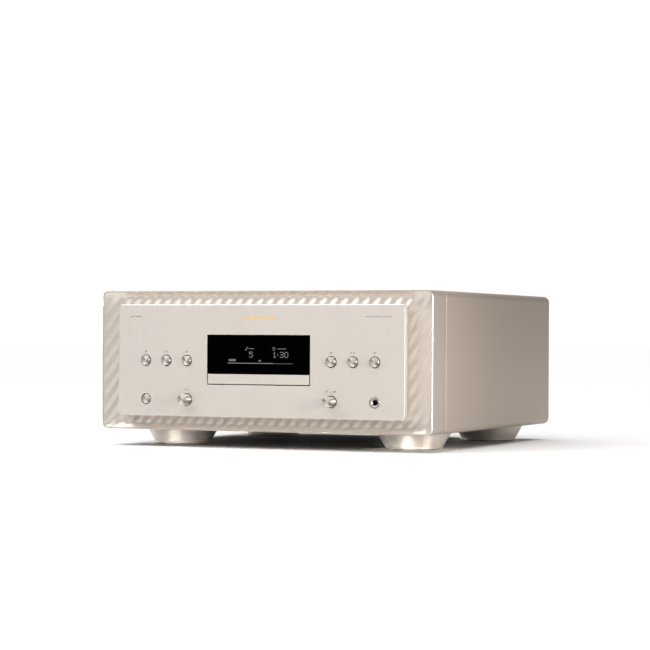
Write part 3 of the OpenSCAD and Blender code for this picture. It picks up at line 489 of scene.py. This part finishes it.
EDGE = 1.3          # the front edge's radius
RIM = 1.75          # the width of the ring round the wave panel
SEAT_DEEP = 13.9    # from the front to the ledge behind the wave panel
LEDGE_IN = 10.0     # the ledge's inner edge, from the outside
ring_profile = [(d, FRONT + y) for d, y in rounding(EDGE, 5)][::-1]
ring_profile += [(RIM, FRONT), (RIM, FRONT + SEAT_DEEP), (LEDGE_IN, FRONT + SEAT_DEEP),
                 (LEDGE_IN, SEAM), (0.5, SEAM), (0.1, SEAM - 0.15), (0.0, SEAM - 0.5)]
piece(loop_solid("front_frame_ring", body_outline, ring_profile), "frame",
      replaces=("front_frame",))
# Painted highlight: a lighter metal skin over the ring's rounded edge. Its width is set per side (left,
# right, bottom, top): widest on the right, narrow at the bottom and top.
edge_profile = [(-0.03, FRONT + EDGE + 0.2), (0.0, FRONT + 0.75), (0.18, FRONT + 0.35),
                (0.5, FRONT + 0.08), (EDGE - 0.1, FRONT - 0.03), (EDGE, FRONT + 0.1), (0.9, FRONT + 0.5),
                (0.4, FRONT + EDGE + 0.2)]
piece(loop_solid("frame_painted_highlight", body_outline, edge_profile, widths=(0.6, 1, 0.25, 0.3)),
      "edge_highlight")

# ---------- Wave panel: milled diagonal ridges on a cove ----------

RIDGE_X, RIDGE_Z = 13.9, 20.0    # the ridges' pitch along X and along Z
RIDGE_DEEP = 0.75
COVE_DEEP = 3.2
COVE_LOW = 9.0                   # the cove is deepest this far from the front plate's edge
WAVE_GAP = 0.02                  # between the panel and the frame
INNER_W, INNER_H = 356, 112      # the panel's opening, hidden behind the front plate
PER_X, PER_Z, PER_ARC = 420, 156, 10    # points on a long side, a short side and a corner
WAVE_ROWS = 34                          # rows of faces from the outer edge to the opening


def smooth(t):
    """0 to 1 with level ends, for t from 0 to 1."""
    t = min(1.0, max(0.0, t))
    return t * t * (3 - 2 * t)


def loop_points(w, h, r):
    """A round-cornered outline with set numbers of points on its sides and arcs, counter-clockwise
    from the right side's lower end."""
    a, b = w / 2 - r, h / 2 - r
    corners = [(a, b), (-a, b), (-a, -b), (a, -b)]
    sides = [((w / 2, -b), (w / 2, b), PER_Z), ((a, h / 2), (-a, h / 2), PER_X),
             ((-w / 2, b), (-w / 2, -b), PER_Z), ((-a, -h / 2), (a, -h / 2), PER_X)]
    points = []
    for k, ((x0, z0), (x1, z1), count) in enumerate(sides):
        points += [(x0 + (x1 - x0) * i / count, z0 + (z1 - z0) * i / count) for i in range(count)]
        for i in range(PER_ARC):
            t = math.pi / 2 * (k + i / PER_ARC)
            points.append((corners[k][0] + r * math.cos(t), corners[k][1] + r * math.sin(t)))
    return points


def outside(x, z, w, h, r):
    """How far a point lies outside a round-cornered rectangle about the origin; negative inside."""
    a, b = abs(x) - w / 2 + r, abs(z) - h / 2 + r
    return math.hypot(max(a, 0), max(b, 0)) + min(max(a, b), 0) - r


def wave_depth(x, z):
    """The cove round the front plate: down from the frame's edge, and up again as it nears the
    plate, except below it, where it goes on down."""
    out = outside(x, z - PLATE_Z, PLATE_W, PLATE_H, PLATE_R)
    inset = max(0.0, -outside(x, z - BODY_Z, BODY_W, BODY_H, BODY_R) - RIM)
    under = smooth((PLATE_Z - PLATE_H / 2 + 5 - z) / 7)
    if out > COVE_LOW:
        t = inset / (inset + out - COVE_LOW)
        depth = COVE_DEEP * math.sin(math.pi / 2 * t)
    else:
        depth = COVE_DEEP * (1 - (0.64 - 1.42 * under) * smooth((COVE_LOW - out) / 16.0))
    ridge = RIDGE_DEEP * (0.5 - 0.5 * math.cos(2 * math.pi * (x / RIDGE_X - z / RIDGE_Z)))
    near = smooth((COVE_LOW - out) / 8.0) * (1 - under)
    return depth + ridge * smooth(inset / 3.5) * (1 - 0.35 * near)


def wave_panel():
    """The panel's front, in rows from its outer edge to its opening, with its edges and back."""
    outer = loop_points(BODY_W - 2 * RIM - 2 * WAVE_GAP, BODY_H - 2 * RIM - 2 * WAVE_GAP, BODY_R - RIM)
    inner = loop_points(INNER_W, INNER_H, PLATE_R)
    verts, faces = [], []
    n = len(outer)
    for j in range(WAVE_ROWS + 1):
        s = j / WAVE_ROWS
        for (x0, z0), (x1, z1) in zip(outer, inner):
            x = x0 * (1 - s) + x1 * s
            z = BODY_Z + z0 * (1 - s) + (z1 + PLATE_Z - BODY_Z) * s
            verts.append(place("Y", x, z, FRONT + WAVE_GAP + wave_depth(x, z)))
    for j in range(WAVE_ROWS):
        for i in range(n):
            m = (i + 1) % n
            faces.append((j * n + i, j * n + m, (j + 1) * n + m, (j + 1) * n + i))
    first, last_row = len(verts), WAVE_ROWS * n
    back = mm_box("wave_panel")[1][1]
    verts += [place("Y", x, BODY_Z + z, back) for x, z in outer]
    verts += [place("Y", x, PLATE_Z + z, back) for x, z in inner]
    for i in range(n):
        m = (i + 1) % n
        faces.append((i, first + i, first + m, m))
        faces.append((last_row + i, last_row + m, first + n + m, first + n + i))
        faces.append((first + i, first + n + i, first + n + m, first + m))
    return make("wave_surround", verts, faces, 40)


piece(wave_panel(), "wave", replaces=("wave_panel",))

# ---------- Floating front plate, tray strip and display glass ----------

BUTTONS = ["dimmer", "stop", "open", "previous", "play", "next", "power"]
KNOBS = ["input_knob", "phones_knob"]
HOLE_R = {**{"button_" + name: 6.9 for name in BUTTONS}, **{name: 7.4 for name in KNOBS}, "phones_jack": 6.9}
window_lo, window_hi = mm_box("display_window")
tray_lo, tray_hi = mm_box("tray_front")
# The opening is a little larger than the glass and the tray strip, which leaves the gaps round them.
OPENING_W = window_hi[0] - window_lo[0] + 1.5
OPENING_Z0 = tray_lo[2] - 1.3
OPENING_Z1 = window_hi[2] + 0.2

plate_holes = [rounded(0, (OPENING_Z0 + OPENING_Z1) / 2, OPENING_W, OPENING_Z1 - OPENING_Z0, 0.8, 4)]
plate_holes += [ring(centre(node)[0], centre(node)[2], r) for node, r in HOLE_R.items()]
piece(plate("front_plate", "Y", plate_outline, plate_holes, PLATE_Y0, PLATE_Y1,
            edge=0.9, hole_edge=0.35, back_edge=0.3, steps=4),
      "fascia", replaces=("fascia",))
HIGHLIGHT_W = 0.9           # the width of the plate's painted highlight, a lighter metal skin over its rounded edge
highlight_profile = [(-0.02, PLATE_Y0 + HIGHLIGHT_W + 0.2), (-0.01, PLATE_Y0 + HIGHLIGHT_W), (0.1, PLATE_Y0 + 0.5),
               (0.4, PLATE_Y0 + 0.12), (HIGHLIGHT_W, PLATE_Y0 - 0.02), (HIGHLIGHT_W + 0.1, PLATE_Y0 + 0.2),
               (0.6, PLATE_Y0 + 0.6), (0.2, PLATE_Y0 + HIGHLIGHT_W + 0.2)]
# Painted highlight round the plate: the lighter metal skin is widest at the top and right and narrowest at
# the bottom.
piece(loop_solid("plate_painted_highlight", plate_outline, highlight_profile, widths=(0.6, 0.8, 0.4, 0.9)),
      "edge_highlight")
piece(plate("tray_strip", "Y", over_box(tray_lo, tray_hi, 0.5), [], tray_lo[1], tray_hi[1], edge=0.25),
      "fascia", "tray", replaces=("tray_front",))
piece(plate("display_glass", "Y", over_box(window_lo, window_hi, 0.6), [], window_lo[1], window_hi[1],
            edge=0.2, back_edge=0.1),
      "glass", replaces=("display_window",))

# ---------- Buttons, knobs and the headphone socket ----------

CAP_R = 5.8
FLANGE_R = 7.3
KNOB_R = 6.3
STEM_R = 3.0        # the back of a knob, round its shaft
DISH = 0.14         # how deep a spun end is dished


def spun_end(face, r):
    """The profile of a spun, dished end with a narrow polished rim, from the centre out."""
    return [(0, face + DISH, 0), (r * 0.45, face + DISH * 0.8, 0), (r - 0.95, face + 0.12, 0.1),
            (r - 0.7, face, 0.1), (r - 0.35, face, 0.15), (r, face + 0.35, 0.2)]


for name in BUTTONS:
    node = "button_" + name
    (_, face, _), (_, end, _) = mm_box(node)
    x, _, z = centre(node)
    flange0, flange1 = PLATE_Y1 + 0.3, PLATE_Y1 + 1.5
    profile = spun_end(face, CAP_R) + [
        (CAP_R, flange0, 0), (FLANGE_R, flange0, 0.2), (FLANGE_R, flange1, 0.2), (2.0, flange1, 0.2),
        (2.0, end, 0.3), (0, end, 0)]
    cap = lathe("cap_" + name, "Y", x, z, soften(profile), 80)
    piece(cap, "control", node, replaces=(node,))

for name in KNOBS:
    (_, face, _), (_, end, _) = mm_box(name)
    x, _, z = centre(name)
    profile = spun_end(face, KNOB_R) + [
        (KNOB_R, PLATE_Y0 + 5, 0.3), (STEM_R, PLATE_Y0 + 5, 0), (STEM_R, end, 0.3), (0, end, 0)]
    knob = lathe("turned_" + name, "Y", x, z, soften(profile), 96)
    piece(knob, "control", name, replaces=(name,))

jack_x, _, jack_z = centre("phones_jack")
jack_face = mm_box("phones_jack")[0][1]
bore_end = jack_face + 26
socket_back = jack_face + 30
ring_of_socket = soften([
    (3.2, bore_end, 0), (3.2, jack_face + 1.7, 0.2), (4.6, jack_face + 0.5, 0.2), (5.2, jack_face, 0.25),
    (5.9, jack_face, 0.3), (6.6, jack_face + 0.7, 0.2), (6.6, PLATE_Y1, 0), (7.0, PLATE_Y1, 0),
    (7.0, bore_end, 0)])
piece(lathe("socket_ring", "Y", jack_x, jack_z, ring_of_socket, 80), "ring",
      replaces=("phones_jack",))
piece(plate("socket_body", "Y", rounded(jack_x, jack_z, 15, 14, 1.0, 4), [ring(jack_x, jack_z, 7.2)],
            PLATE_Y1 + 0.05, socket_back, hole_edge=0.05),
      "black_plastic")
end_of_socket = soften([
    (0, bore_end + 0.3, 0), (1.6, bore_end + 0.05, 0.2), (5.4, bore_end + 0.05, 0.2),
    (5.8, bore_end + 0.8, 0.1), (7.1, bore_end + 0.8, 0.1), (7.1, socket_back - 0.8, 0.3),
    (6.0, socket_back, 0.2), (2.0, socket_back, 0.2), (0, socket_back - 0.3, 0)])
piece(lathe("socket_end", "Y", jack_x, jack_z, end_of_socket, 48), "black_plastic")

# ---------- Printed marks: plain signs, bars and dots ----------

MARK_Y0, MARK_Y1 = PLATE_Y0 - 0.05, PLATE_Y0 + 0.02


def bar(cx, cz, w, h):
    """An upright rectangle."""
    return [(cx + sx * w / 2, cz + sz * h / 2) for sx, sz in ((-1, -1), (1, -1), (1, 1), (-1, 1))]


def triangle(cx, cz, w, h, way):
    """A triangle that points left, right or up."""
    if way == "up":
        return [(cx - w / 2, cz - h / 2), (cx + w / 2, cz - h / 2), (cx, cz + h / 2)]
    s = 1 if way == "right" else -1
    return [(cx - s * w / 2, cz - h / 2), (cx + s * w / 2, cz), (cx - s * w / 2, cz + h / 2)]


def disc(cx, cz, r, n=20):
    """A round dot."""
    angles = [2 * math.pi * i / n for i in range(n)]
    return [(cx + r * math.cos(t), cz + r * math.sin(t)) for t in angles]


def lozenge(cx, cz, w, h):
    """A square on its corner."""
    return [(cx - w / 2, cz), (cx, cz - h / 2), (cx + w / 2, cz), (cx, cz + h / 2)]


def half_ring(cx, cz, r, width, n=14):
    """A strip bent over the top half of a circle."""
    angles = [math.pi * i / n for i in range(n + 1)]
    big, small = r + width / 2, r - width / 2
    return ([(cx + big * math.cos(t), cz + big * math.sin(t)) for t in angles]
            + [(cx + small * math.cos(t), cz + small * math.sin(t)) for t in reversed(angles)])


at = {name: centre("button_" + name)[0] for name in BUTTONS}
icon_z = centre("button_stop")[2] + 10.9

# A small sun over the dimmer button.
grey = [disc(at["dimmer"], icon_z, 0.75)]
middle = Vector((at["dimmer"], icon_z))
for k in range(8):
    t = math.radians(45 * k)
    out = Vector((math.cos(t), math.sin(t)))
    side = Vector((-out.y, out.x)) * 0.16
    grey.append([tuple(middle + out * r + side * s)
                 for r, s in ((1.15, -1), (1.85, -1), (1.85, 1), (1.15, 1))])

# The usual transport signs over the other buttons of the row.
x = at["stop"]
for dx, dz, w, h in ((0, 0.8, 2.0, 0.4), (0, -0.8, 2.0, 0.4), (-0.8, 0, 0.4, 1.2), (0.8, 0, 0.4, 1.2)):
    grey.append(bar(x + dx, icon_z + dz, w, h))
x = at["open"]
grey += [triangle(x, icon_z + 0.35, 2.4, 1.4, "up"), bar(x, icon_z - 0.9, 2.4, 0.5)]
x = at["previous"]
grey += [triangle(x - 0.5, icon_z, 1.3, 1.9, "left"), triangle(x + 0.8, icon_z, 1.3, 1.9, "left"),
         bar(x - 1.5, icon_z, 0.35, 1.9)]
x = at["play"]
grey += [triangle(x - 1.7, icon_z, 1.8, 2.1, "right"), bar(x + 1.0, icon_z, 0.5, 2.0),
         bar(x + 2.1, icon_z, 0.5, 2.0)]
x = at["next"]
grey += [triangle(x - 0.8, icon_z, 1.3, 1.9, "right"), triangle(x + 0.5, icon_z, 1.3, 1.9, "right"),
         bar(x + 1.5, icon_z, 0.35, 1.9)]

# An arrow into a bracket over the input knob; headphones and a rising scale over the level knob.
label_z = centre("input_knob")[2] + 12.4
x = centre("input_knob")[0]
grey += [bar(x - 1.9, label_z, 2.6, 0.45), triangle(x + 0.1, label_z, 1.5, 1.7, "right"),
         bar(x + 2.4, label_z, 0.4, 2.2), bar(x + 1.7, label_z + 0.95, 1.2, 0.35),
         bar(x + 1.7, label_z - 0.95, 1.2, 0.35)]
x = centre("phones_knob")[0]
grey += [half_ring(x - 5.4, label_z - 0.3, 1.35, 0.35), bar(x - 6.7, label_z - 0.6, 0.7, 1.3),
         bar(x - 4.1, label_z - 0.6, 0.7, 1.3)]
for k in range(6):
    grey.append(bar(x - 1.0 + k * 1.4, label_z - 0.9 + 0.17 * k, 0.7, 0.4 + 0.34 * k))

# Plain bars and dots along the plate's top edge.
top_z = PLATE_Z + 53.2
grey += [bar(-170.6, top_z, 7.0, 0.8), disc(-164.6, top_z, 1.0), bar(-160.6, top_z, 4.6, 0.8)]
grey += [bar(150.0, top_z, 21.0, 0.55), disc(163.4, top_z, 0.75), bar(169.4, top_z, 8.5, 0.55)]
piece(prisms("printed_icons", grey, MARK_Y0, MARK_Y1), "print")

gold_z = PLATE_Z + 51.6
gold = [lozenge(k * 5.2, gold_z, 4.3, 4.9 - 0.32 * abs(k)) for k in range(-4, 5)]
piece(prisms("gold_ornament", gold, MARK_Y0, MARK_Y1), "gold")

# ---------- What the display shows: lit dots and bars on the glass ----------

GLYPHS = {
    "0": ["01110", "10001", "10001", "10001", "10001", "10001", "01110"],
    "1": ["00100", "01100", "00100", "00100", "00100", "00100", "01110"],
    "3": ["11110", "00001", "00001", "01110", "00001", "00001", "11110"],
    "5": ["11111", "10000", "11110", "00001", "00001", "10001", "01110"],
    ":": ["000", "000", "010", "000", "010", "000", "000"],
    "note": ["0001100", "0001010", "0001001", "0001001", "0111000", "1111000", "0110000"],
    "clock": ["0011100", "0101010", "1001001", "1001101", "1000001", "0100010", "0011100"],
}
ADVANCE = {"1": 5.3, ":": 4.2, "3": 6.0, "0": 6.0}
DIGIT_Z, DIGIT_DOT = 110.8, 1.02
SIGN_Z, SIGN_DOT = 119.4, 0.62
LIT_Y0, LIT_Y1 = window_lo[1] - 0.03, window_lo[1] + 0.02


def glyph(key, x, z, dot):
    """Square dots of one glyph, whose lower left corner is at x, z."""
    rows = GLYPHS[key]
    return [bar(x + (c + 0.5) * dot, z + (len(rows) - r - 0.5) * dot, dot * 0.82, dot * 0.82)
            for r, row in enumerate(rows) for c, bit in enumerate(row) if bit == "1"]


bright = glyph("5", -12.2, DIGIT_Z, DIGIT_DOT)
x = 19.2
for key in "1:30":
    bright += glyph(key, x, DIGIT_Z, DIGIT_DOT)
    x += ADVANCE[key]
bright += glyph("note", -17.5, SIGN_Z, SIGN_DOT) + [bar(-8.6, 121.5, 6.4, 0.6)]
bright += glyph("clock", 18.6, SIGN_Z, SIGN_DOT) + [bar(31.3, 121.5, 11.0, 0.6)]
bright.append(bar(-10.2, 103.9, 61.0, 0.8))
piece(prisms("display_figures", bright, LIT_Y0, LIT_Y1), "lit")
dim = [bar(33.2, 103.7, 25.0, 0.5), bar(-34.6, 107.6, 9.6, 2.6), bar(2.0, 107.0, 3.4, 1.8)]
piece(prisms("display_faint_marks", dim, LIT_Y0, LIT_Y1), "lit_dim")

# ---------- Casing ----------

side_lo, side_hi = mm_box("side_panel_right")
cover_lo, cover_hi = mm_box("top_cover")
CASING_Y0, CASING_Y1 = SEAM + 0.25, side_hi[1]
VENT_ROWS, VENT_PITCH, VENT_Y0 = 15, 9, 32.5
VENT_X, VENT_LONG, VENT_WIDE = 100, 110, 3


def side_outline(sign):
    """The section of the right (1) or left (-1) side panel: round outside corners, flat inside."""
    x = BODY_W / 2 - BODY_R
    points = []
    for start, z in ((-90, side_lo[2] + BODY_R), (0, side_hi[2] - BODY_R)):
        for i in range(13):
            t = math.radians(start + 90 * i / 12)
            points.append((x + BODY_R * math.cos(t), z + BODY_R * math.sin(t)))
    return points if sign > 0 else [(-x, z) for x, z in reversed(points)]


for sign, side in ((-1, "left"), (1, "right")):
    panel = plate("side_" + side, "Y", polygon(side_outline(sign)), [], CASING_Y0, CASING_Y1,
                  edge=0.45, back_edge=0.8, steps=4)
    piece(panel, "casing", replaces=("side_panel_" + side,))

# Painted highlight at the seam: a thin lighter metal skin round the casing's front edge.
casing_edge = [(-0.03, SEAM + 1.5), (0.0, SEAM + 1.1), (0.75, SEAM + 0.3), (1.0, SEAM + 0.24),
               (1.1, SEAM + 0.5), (0.6, SEAM + 1.5)]
piece(loop_solid("casing_seam_highlight", body_outline, casing_edge), "edge_highlight")

vents = [round_ended(sign * VENT_X, VENT_Y0 + i * VENT_PITCH, VENT_LONG, VENT_WIDE)
         for i in range(VENT_ROWS) for sign in (-1, 1)]
cover_outline = rounded(0, (CASING_Y0 + CASING_Y1) / 2, cover_hi[0] - cover_lo[0],
                        CASING_Y1 - CASING_Y0, 0.3, 2)
cover = plate("cover_plate", "Z", cover_outline, vents, cover_lo[2], cover_hi[2],
              edge=0.1, hole_edge=0.4, back_edge=0.4)
piece(cover, "casing", replaces=("top_cover",))

# ---------- Feet ----------

foot_lo, foot_hi = mm_box("feet")
FOOT_R = 45.5
FOOT_X = foot_hi[0] - FOOT_R
FOOT_TOP = foot_hi[2]
foot_profile = soften([
    (3.3, FOOT_TOP, 0), (3.3, 2.0, 0), (26.8, 2.0, 0), (26.8, 1.0, 0), (34.1, 1.0, 0.4), (35.3, 1.4, 0.4),
    (35.6, 2.4, 0.4), (35.6, 3.9, 0.3), (36.4, 4.4, 0.3), (FOOT_R, 20.2, 0.5), (FOOT_R, FOOT_TOP, 0)])
for end, y in (("front", foot_lo[1] + FOOT_R), ("rear", foot_hi[1] - FOOT_R)):
    for sign, side in ((-1, "left"), (1, "right")):
        foot = lathe("foot_" + end + "_" + side, "Z", sign * FOOT_X, y, foot_profile, 120)
        piece(foot, "foot", replaces=("feet",))

# ---------- Stage, light and camera: metres from here on ----------

scene = bpy.context.scene
scene.view_settings.view_transform = "Standard"

FLOOR = 30    # half the floor's width
floor_mesh = bpy.data.meshes.new("studio_floor")
floor_mesh.from_pydata([(-FLOOR, -FLOOR, 0), (FLOOR, -FLOOR, 0), (FLOOR, FLOOR, 0), (-FLOOR, FLOOR, 0)],
                       [], [(0, 1, 2, 3)])
floor = bpy.data.objects.new("studio_floor", floor_mesh)
scene.collection.objects.link(floor)
floor.data.materials.append(surface("studio_white", (0.90, 0.90, 0.90), 0.9, grain=20, vary=0.01,
                                    bump=0.0, specular=0.1))

# The world lights the player with a plain warm grey and shows as plain white behind it.
world = bpy.data.worlds.new("studio")
scene.world = world
world.use_nodes = True
world_tree = world.node_tree
world_tree.nodes.clear()
world_out = world_tree.nodes.new("ShaderNodeOutputWorld")
background = world_tree.nodes.new("ShaderNodeBackground")
ray = world_tree.nodes.new("ShaderNodeLightPath")
shown = world_tree.nodes.new("ShaderNodeMix")
shown.data_type = "RGBA"
shown.inputs[6].default_value = (0.305, 0.30, 0.296, 1)
shown.inputs[7].default_value = (1.0, 1.0, 1.0, 1)
background.inputs[1].default_value = 1.02
world_tree.links.new(ray.outputs["Is Camera Ray"], shown.inputs[0])
world_tree.links.new(shown.outputs[2], background.inputs[0])
world_tree.links.new(background.outputs[0], world_out.inputs[0])


def lamp(name, kind, at, target, power, colour):
    """A lamp of one kind at a place, turned to a target."""
    light = bpy.data.lights.new(name, kind)
    light.energy = power
    light.color = colour
    obj = bpy.data.objects.new(name, light)
    obj.location = at
    obj.rotation_euler = (Vector(target) - obj.location).to_track_quat("-Z", "Y").to_euler()
    scene.collection.objects.link(obj)
    return light


def area(name, at, target, size, power, colour, spread_deg=180):
    """A rectangular lamp; a narrow spread keeps its light on what it faces."""
    light = lamp(name, "AREA", at, target, power, colour)
    light.shape = "RECTANGLE"
    light.size, light.size_y = size
    light.spread = math.radians(spread_deg)


overhead = lamp("overhead", "SUN", (-0.40, 0.15, 3.0), (0, 0, 0), 2.6, (1.0, 0.998, 0.996))
overhead.angle = math.radians(92)
WARM = (1, 0.985, 0.97)
area("key", (-1.1, -1.5, 1.3), (0, -0.22, 0.12), (0.9, 0.7), 6.5, WARM)
area("top_strip", (-0.35, -0.62, 0.62), (-0.05, -0.22, 0.1), (0.8, 0.12), 2.3, (1, 0.995, 0.99))
area("side_card", (0.95, -0.5, 0.22), (0.22, -0.25, 0.13), (0.3, 0.3), 0.45, (1, 0.95, 0.90), 34)
area("spark", (0.6, -1.6, 1.0), (0, -0.22, 0.1), (0.16, 0.16), 2.0, WARM)
area("low_strip", (-0.10, -1.9, 0.017), (0.0, -0.2, 0.002), (0.56, 0.012), 0.08, WARM, 1.5)

SENSOR_MM = 36.0
LENS_PX, PICTURE_PX = 2238.1, 650    # the focal length and the picture's width, in pixels
YAW, PITCH, ROLL = math.radians(23.61), math.radians(0.33), math.radians(0.31)
CAMERA_AT = (1.152, -2.447 + FRONT * MM, 0.135)
forward = Vector((-math.sin(YAW) * math.cos(PITCH), math.cos(YAW) * math.cos(PITCH), math.sin(PITCH)))
level_right = Vector((math.cos(YAW), math.sin(YAW), 0))
level_up = level_right.cross(forward)
cam_right = level_right * math.cos(ROLL) + level_up * math.sin(ROLL)
cam_up = cam_right.cross(forward)
cam = bpy.data.cameras.new("camera")
cam.sensor_width = SENSOR_MM
cam.sensor_fit = "HORIZONTAL"
cam.lens = SENSOR_MM * LENS_PX / PICTURE_PX
cam.clip_start, cam.clip_end = 0.05, 100
cam_obj = bpy.data.objects.new("camera", cam)
turned = Matrix((cam_right, cam_up, -forward)).transposed()
cam_obj.matrix_world = Matrix.Translation(CAMERA_AT) @ turned.to_4x4()
scene.collection.objects.link(cam_obj)
scene.camera = cam_obj
